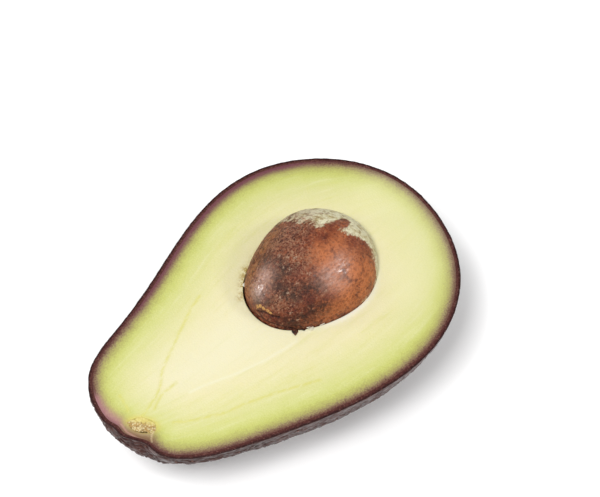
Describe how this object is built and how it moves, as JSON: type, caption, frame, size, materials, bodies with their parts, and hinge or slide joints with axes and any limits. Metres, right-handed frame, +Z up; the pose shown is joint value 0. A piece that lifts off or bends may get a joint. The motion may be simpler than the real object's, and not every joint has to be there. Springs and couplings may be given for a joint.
{
  "type": "halved avocado",
  "caption": "Avocado half lying on its back, cut lengthwise: dark pebbled skin, pale green flesh, and the whole round brown stone sitting in the cut face.",
  "frame": {"origin": "middle of the small flat spot under the skin that the half rests on", "axes": "+X along the fruit from its stem end to its round end, +Y across the fruit, +Z up out of the cut face"},
  "size_m": [0.1002, 0.0691, 0.0466],
  "materials": {
    "skin_peel": "waxy, pebbled, dark purple-brown",
    "ripe_flesh": "moist, smooth cut, cream at the stone to green at the skin",
    "stone_coat": "papery brown seed coat, half gloss, mottled grey",
    "stem_wood": "dry, corky, pitted"
  },
  "bodies": {
    "root": {"skin": "skin_peel", "flesh": "ripe_flesh", "stone": "stone_coat", "stem_end": "stem_wood"}
  },
  "joints": []
}
